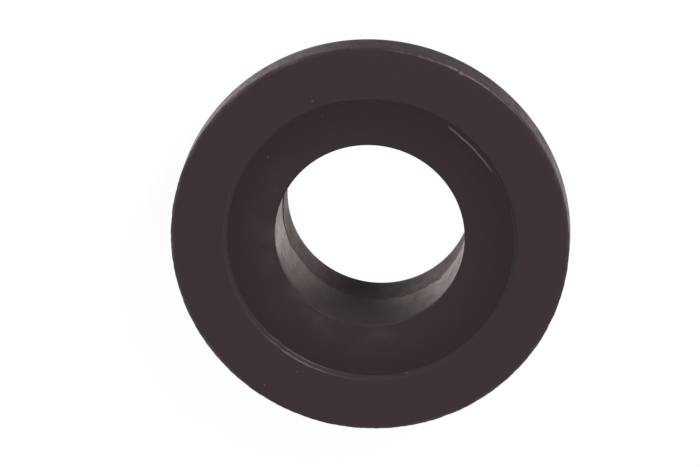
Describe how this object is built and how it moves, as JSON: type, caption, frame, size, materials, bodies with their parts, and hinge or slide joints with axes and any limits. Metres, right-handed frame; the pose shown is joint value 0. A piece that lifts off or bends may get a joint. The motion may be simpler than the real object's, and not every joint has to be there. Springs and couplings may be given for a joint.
{
  "type": "hose coupling seal",
  "caption": "Moulded rubber seal for a claw-type hose coupling: flat flange with a shallow dished recess in its face, straight bore and a short plain neck.",
  "frame": {"origin": "centre of the neck's rear end, on the bore axis", "axes": "+Z along the bore axis, from the neck's rear end towards the sealing face; the seal is round about it, so X and Y are alike"},
  "size_m": [0.034, 0.034, 0.0134],
  "materials": {
    "rubber": "matt dark brown-black moulded rubber"
  },
  "bodies": {
    "root": {"coupling_seal": "rubber"}
  },
  "joints": []
}
